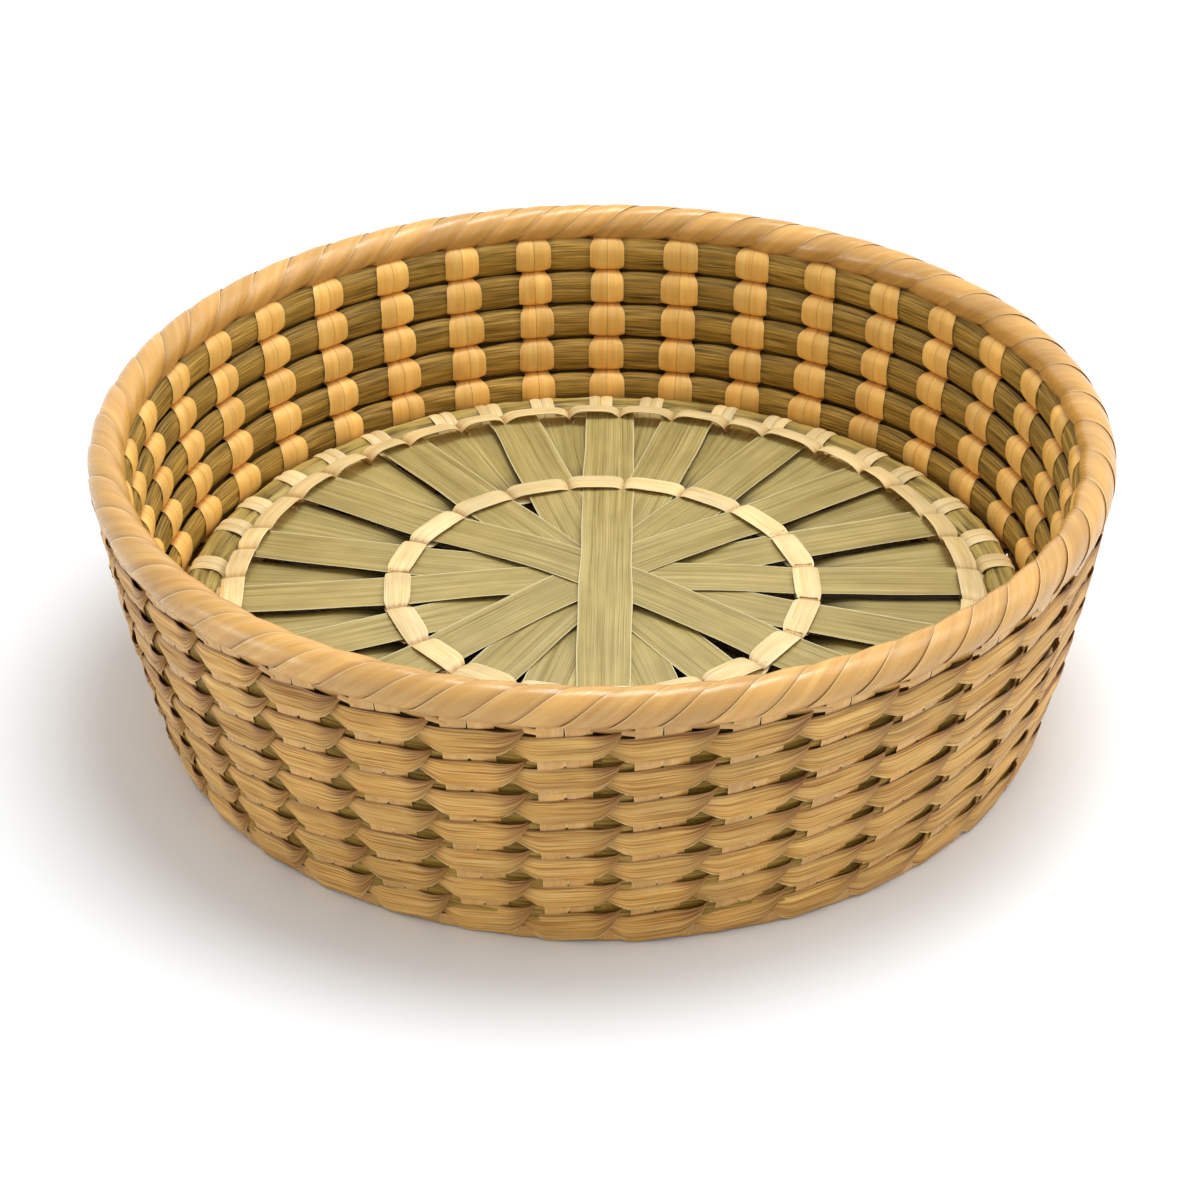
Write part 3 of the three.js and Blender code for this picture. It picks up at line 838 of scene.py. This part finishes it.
def rim_tab(piece, radius, height, index):
    """The end of a strand that shows as a short tab below the roll's outer lower edge."""
    side = 1 if index % 2 == 0 else -1
    centre = FRONT + SCALE_TURN + (index + index % 2) * PITCH / 2
    drop = np.linspace(0, 1, RIM_TAB_STEPS)
    foot, edge = rim_foot(radius, height)
    out = foot - RIM_TAB_SLOPE * drop - RIM_TAB_CURL * drop**2
    length = RIM_TAB_DROP + RIM_TAB_LAP
    left, right = (
        polar(out, centre + side * share * PITCH, edge + RIM_TAB_LAP - (length + slant) * drop)
        for share, slant in ((NICK * drop / 2, 0.0), (TAB, ROW_PITCH * SCALE_TILT * TAB * side))
    )
    normal = polar(np.ones(len(drop)), centre, 0.0)

    def painted_shade(t, x):
        covered = RIM_TAB_TOP_SHADE * ease(*RIM_TAB_TOP_RANGE, t)
        return covered + RIM_TAB_END_SHADE * ease(*RIM_TAB_END_RANGE, t) + 0 * x

    piece.strip(left, right, normal, crowned(RIM_TAB_CROWN), painted_shade)


def rim_sliver(piece, radius, height, column):
    """The slanting end of a strip, which shows between two pairs of tabs below the roll."""
    share = np.linspace(0, 1, SLIVER_STEPS)
    angle = FRONT + SCALE_TURN + PITCH * (column + SLIVER_START + (SLIVER_END - SLIVER_START) * share)
    foot, edge = rim_foot(radius, height)
    out = foot - SLIVER_SUNK
    level = edge - SLIVER_TOP - SLIVER_FALL * share
    half = SLIVER_HALF_WIDTH - SLIVER_TAPER * share
    normal = polar(np.ones(len(share)), angle, 0.0)

    def painted_shade(t, x):
        covered = SLIVER_START_SHADE * ease(*SLIVER_START_RANGE, t)
        return covered + SLIVER_UPPER_SHADE * ease(*SLIVER_UPPER_RANGE, x)

    lower, upper = polar(out, angle, level - half), polar(out, angle, level + half)
    piece.strip(lower, upper, normal, crowned(SLIVER_CROWN), painted_shade)


def rim():
    """The rim's hidden core and the strips wound round it."""
    radius, height = rim_place()
    core = Piece(RIM_SEED)
    roll(core, radius, height, RIM_BED + LEAF, RIM_CORE_CORNERS)
    core.make("rim_bundle", ["rim_core"], [COIL])
    wrap = Piece(RIM_SEED + 1)
    roll(wrap, radius, height, RIM_BED, RIM_BED_CORNERS)
    for index in range(RIM_STRIPS):
        rim_strip(wrap, radius, height, index)
    for index in range(RIM_TABS):
        rim_tab(wrap, radius, height, index)
    for column in range(COLUMNS):
        rim_sliver(wrap, radius, height, column)
    wrap.make("rim_winding", ["rim_wrap"], [RIM])


# Floor


FLOOR_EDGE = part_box("outer_ring_upper")[1][0]
FLOOR_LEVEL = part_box("base_coil")[1][2]
STRAP_END = FLOOR_EDGE - STRAP_INSET
INNER_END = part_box("inner_ring_upper")[1][0]
INNER_START = INNER_END - INNER_WIDTH


def floor_height(radius):
    """Underside of the spokes, which rises a little from the floor's edge to the inner ring."""
    share = (FLOOR_EDGE - np.abs(radius)) / (FLOOR_EDGE - INNER_START)
    return FLOOR_LEVEL + FLOOR_DOME * np.minimum(1, share)


def spoke_turn(index):
    """Direction of a spoke, a little off an even star. Spokes half a turn apart are one strap."""
    return index * SPOKE_TURN + math.radians(STRAP_TILT[index % STRAPS])


def spoke_shift(index):
    """How far a spoke's middle line is from the axis, to the left as seen along the spoke."""
    side = 1 if index // STRAPS % 2 == 0 else -1
    return side * STRAP_SHIFT[index % STRAPS] / 1000


def spoke_angle(index, reach):
    """Angle round the axis of a spoke's middle line, at a distance out from the axis."""
    return spoke_turn(index) + spoke_shift(index) / reach


def flat_strap(piece, reach, height, angle, width, painted_shade, shift=0):
    """A strap along a spoke, at places out from the axis, with its edges a little uneven."""
    ahead = np.array([math.cos(angle), math.sin(angle), 0])
    aside = np.array([-math.sin(angle), math.cos(angle), 0])
    middle = reach[:, None] * ahead + shift * aside + height[:, None] * np.array([0, 0, 1])
    edges = []
    for side in (-1, 1):
        phases = piece.random.random(len(STRAP_EDGES)) * 2 * math.pi
        wave = sum(size * np.sin(reach * rate + phase) for (size, rate), phase in zip(STRAP_EDGES, phases))
        edges.append(middle + aside * (side * width / 2 + wave)[:, None])
    normal = np.tile([0.0, 0.0, 1.0], (len(reach), 1))
    waves = piece.random.random((STRAP_RIDGES, 2))
    piece.strip(*edges, normal, lambda t, x: LEAF + ridges(waves, STRAP_RIDGE, x) + 0 * t, painted_shade)


def long_strap(index):
    """A strap across the whole floor, which crosses the others at its own level."""
    piece = Piece(STRAP_SEED + index)
    reach = np.linspace(-STRAP_END, STRAP_END, STRAP_STEPS)
    level = STRAPS - 1 - STRAP_ORDER.index(index)
    height = floor_height(reach) + level * STRAP_STEP * np.maximum(0, 1 - (reach / INNER_START) ** 2)
    width = STRAP_WIDTH * (1 + STRAP_UNEVEN * piece.random.normal()) + 0 * reach
    flat_strap(piece, reach, height, spoke_turn(index), width, lambda t, x: 0 * t, spoke_shift(index))
    name = f"{index + 1:02d}"
    piece.make(f"strap_{name}", [f"floor_strap_{name}"], [STRAP])


def short_strap(index):
    """A strap that lies lower, between two spokes, and goes on under the inner ring, with painted shade that
    darkens it towards that ring and along its sides.
    """
    piece = Piece(FILLER_SEED + index)
    reach = np.linspace(FILLER_START, STRAP_END, FILLER_STEPS)
    dip = FILLER_DIP * ease(INNER_END + FILLER_DIP_START, INNER_START, reach)
    first, second = spoke_angle(index, FILLER_MIDDLE), spoke_angle(index + 1, FILLER_MIDDLE)
    turn = (first + second) / 2 + FILLER_UNEVEN * piece.random.normal()
    spread = spoke_angle(index + 1, reach) - spoke_angle(index, reach)
    width = np.maximum(STRAP_WIDTH * FILLER_LEAST, spread * reach - STRAP_WIDTH + 2 * FILLER_LAP)
    dark = ease(*(INNER_END + away for away in FILLER_DARK), reach)[:, None]

    def shade(t, x):
        return (dark + FILLER_SIDE_SHADE * ease(*FILLER_SIDE_RANGE, np.abs(x))) * (1 - DEPTH)

    flat_strap(piece, reach, floor_height(reach) - FILLER_DROP - dip, turn, width, shade)
    name = f"{index + 1:02d}"
    piece.make(f"filler_{name}", [f"floor_filler_{name}"], [STRAP])


def ring_stitch(piece, span, ends, base, arch, lift, side):
    """One straight arched stitch of a ring, over the floor or under it. side is 1 above and -1 below."""
    start, end = span
    share = np.linspace(-1, 1, RING_STEPS)
    angle, reach = (ends[0] + ends[1]) / 2, (ends[1] - ends[0]) / 2
    turn = reach * share * RING_REACH
    chord = 0.5 * (1 + math.cos(reach)) / np.cos(turn)
    middle = (start + end) / 2 * (1 + RING_UNEVEN * piece.random.normal()) * chord
    half = (end - start) / 2 * (1 - RING_NECK * np.abs(share) ** RING_NECK_POWER)
    arched = 1 - share**RING_ARCH_POWER
    hump = base + side * (arch * arched - RING_DIVE * np.abs(share) ** RING_DIVE_POWER)
    left, right = (
        polar(radius, angle + turn, floor_height(radius) + hump) for radius in (middle - half, middle + half)
    )
    normal = np.tile([0.0, 0.0, float(side)], (len(share), 1))
    piece.strip(
        left,
        right,
        normal,
        lambda t, x: RING_CROWN * (1 - x * x) + RING_SLOPE * (t - 0.5) - lift * x * arched[:, None],
        lambda t, x: RING_END_SHADE * ease(*RING_END_RANGE, np.abs(share))[:, None] + 0 * x,
    )


def ring(seed, name, span, count, uneven, base, arch, lift, side):
    """A ring of stitches round the floor, between two radii."""
    piece = Piece(seed)
    step = 2 * math.pi / count
    joints = (np.arange(count) - 0.5 + uneven * (piece.random.random(count) - 0.5)) * step + RING_TURN
    for index in range(count):
        after = joints[(index + 1) % count] + (2 * math.pi if index == count - 1 else 0)
        ring_stitch(piece, span, (joints[index], after), base, arch, lift, side)
    piece.make(f"{name}_stitches", [name], [RING])


def wobble(index):
    """A small, fixed unevenness from one stitch to the next."""
    return sum(math.sin(rate * index) for rate in WOBBLE_RATES)


def base_edge():
    """The coil round the floor's edge and the stitches round it."""
    low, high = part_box("base_coil")
    radius = high[0] - BASE_COIL - BASE_IN
    height = (low[2] + high[2]) / 2 - BASE_DROP
    fibre = Piece(BASE_SEED)
    coil(fibre, radius, height, (BASE_HALF_DEPTH, BASE_HALF_DEPTH), BASE_HALF_HEIGHT, BASE_STITCHES)
    fibre.make("base_bundle", ["base_coil"], [BASE])
    lacing = Piece(BASE_SEED + 1)
    sizes = (BASE_HALF_DEPTH + LEAF, BASE_HALF_HEIGHT + LEAF)
    crown = crowned(STITCH_CROWN)
    for index in range(BASE_STITCHES):
        angle = 2 * math.pi * (index + BASE_UNEVEN * wobble(index)) / BASE_STITCHES + FRONT
        for side in (-1, 1):
            offsets = (side * STITCH_SEAM, side * BASE_STITCH_WIDTH / 2)
            form = (sizes, BASE_STITCH_ENDS, offsets, crown, 0, BASE_SEAM_SHADE)
            loop_strand(lacing, radius, height, angle, *form)
    lacing.make("base_stitches", ["base_coil_lacing"], [RING])


def floor():
    """The straps, the rings that bind them and the coil at the edge."""
    for index in range(STRAPS):
        long_strap(index)
    for index in range(SPOKES):
        short_strap(index)
    above = STRAP_STEP + LEAF
    settled = above - OUTER_SETTLE
    below = FILLER_DROP + LEAF
    inner = (SPOKES, INNER_UNEVEN)
    outer = (2 * SPOKES, OUTER_UNEVEN)
    outer_end = FLOOR_EDGE - OUTER_INSET
    outer_start = outer_end - OUTER_WIDTH
    rings = [
        ("inner_ring_upper", (INNER_START, INNER_END), *inner, above, INNER_ARCH, INNER_LIFT, 1),
        ("inner_ring_lower", (INNER_START, INNER_END), *inner, -LEAF, INNER_UNDER_ARCH, 0, -1),
        ("outer_ring_upper", (outer_start, outer_end), *outer, settled, OUTER_ARCH, OUTER_LIFT, 1),
        ("outer_ring_lower", (outer_start, FLOOR_EDGE + UNDER_LAP), *outer, -below, OUTER_UNDER_ARCH, 0, -1),
    ]
    for index, form in enumerate(rings):
        ring(RING_SEED + index, *form)
    base_edge()


# Stage, light and camera


def seen_ray(tree):
    """1 for the rays that show a surface as it is: to the camera, in a reflection or through glass."""
    path = tree.nodes.new("ShaderNodeLightPath")
    seen = path.outputs["Is Camera Ray"]
    for kind in ("Is Glossy Ray", "Is Transmission Ray"):
        either = tree.nodes.new("ShaderNodeMath")
        either.operation = "MAXIMUM"
        tree.links.new(seen, either.inputs[0])
        tree.links.new(path.outputs[kind], either.inputs[1])
        seen = either.outputs[0]
    return seen


def ground():
    """A wide pale floor that takes the shadow."""
    half = GROUND_SIZE / 2
    corners = [(-half, -half, 0), (half, -half, 0), (half, half, 0), (-half, half, 0)]
    mesh = bpy.data.meshes.new("ground")
    mesh.from_pydata(corners, [], [(0, 1, 2, 3)])
    thing = bpy.data.objects.new("ground", mesh)
    bpy.context.collection.objects.link(thing)
    nodes = Nodes("ground")
    seen = seen_ray(nodes.tree)
    color = nodes.mix(seen, [GROUND_BOUNCE] * 3 + [1], GROUND_COLOR)
    nodes.set(nodes.shader.inputs["Base Color"], color)
    place = nodes.add("ShaderNodeNewGeometry", {}).outputs["Position"]
    away = nodes.add("ShaderNodeVectorMath", {0: place}, operation="LENGTH").outputs["Value"]
    glow = nodes.times(seen, nodes.span(away, *GROUND_FADE, 0.0, GROUND_GLOW))
    nodes.shader.inputs["Emission Color"].default_value = WHITE
    nodes.set(nodes.shader.inputs["Emission Strength"], glow)
    nodes.shader.inputs["Roughness"].default_value = 1.0
    nodes.shader.inputs["Specular IOR Level"].default_value = 0.0
    mesh.materials.append(nodes.material)


def sky():
    """White behind everything, and a plain soft light that is stronger from the right, back and top."""
    world = bpy.data.worlds.new("sky")
    bpy.context.scene.world = world
    world.use_nodes = True
    tree = world.node_tree
    background = tree.nodes["Background"]
    background.inputs["Color"].default_value = WHITE
    way = tree.nodes.new("ShaderNodeTexCoord")
    slope = tree.nodes.new("ShaderNodeVectorMath")
    slope.operation = "DOT_PRODUCT"
    slope.inputs[1].default_value = [WORLD_LIGHT * share for share in WORLD_SLOPE]
    tree.links.new(way.outputs["Generated"], slope.inputs[0])
    light = tree.nodes.new("ShaderNodeMath")
    light.operation = "ADD"
    light.inputs[1].default_value = WORLD_LIGHT
    tree.links.new(slope.outputs["Value"], light.inputs[0])
    level = tree.nodes.new("ShaderNodeMix")
    level.inputs["B"].default_value = 1.0
    tree.links.new(seen_ray(tree), level.inputs["Factor"])
    tree.links.new(light.outputs[0], level.inputs["A"])
    tree.links.new(level.outputs["Result"], background.inputs["Strength"])


def lamp(name, place, size, power):
    """A large soft round lamp that shines at the basket."""
    data = bpy.data.lights.new(name, "AREA")
    data.shape = "DISK"
    data.size = size
    data.energy = power
    thing = bpy.data.objects.new(name, data)
    thing.location = place
    thing.rotation_euler = (-Vector(place)).to_track_quat("-Z", "Y").to_euler()
    bpy.context.collection.objects.link(thing)


def camera():
    """The camera at the photograph's angle."""
    data = bpy.data.cameras.new("camera")
    data.lens = CAMERA_LENS
    view = bpy.data.objects.new("camera", data)
    back = CAMERA_DISTANCE * math.cos(CAMERA_HEIGHT)
    view.location = (0, -back, rim_place()[1] + CAMERA_DISTANCE * math.sin(CAMERA_HEIGHT))
    view.rotation_euler = Euler((math.pi / 2 - CAMERA_HEIGHT - CAMERA_DIP, 0, CAMERA_PAN))
    bpy.context.collection.objects.link(view)
    bpy.context.scene.camera = view


for wall in range(1, ROWS + 1):
    wall_row(wall)
rim()
floor()
ground()
sky()
for spec in LAMPS:
    lamp(*spec)
camera()
bpy.context.scene.view_settings.view_transform = "Standard"
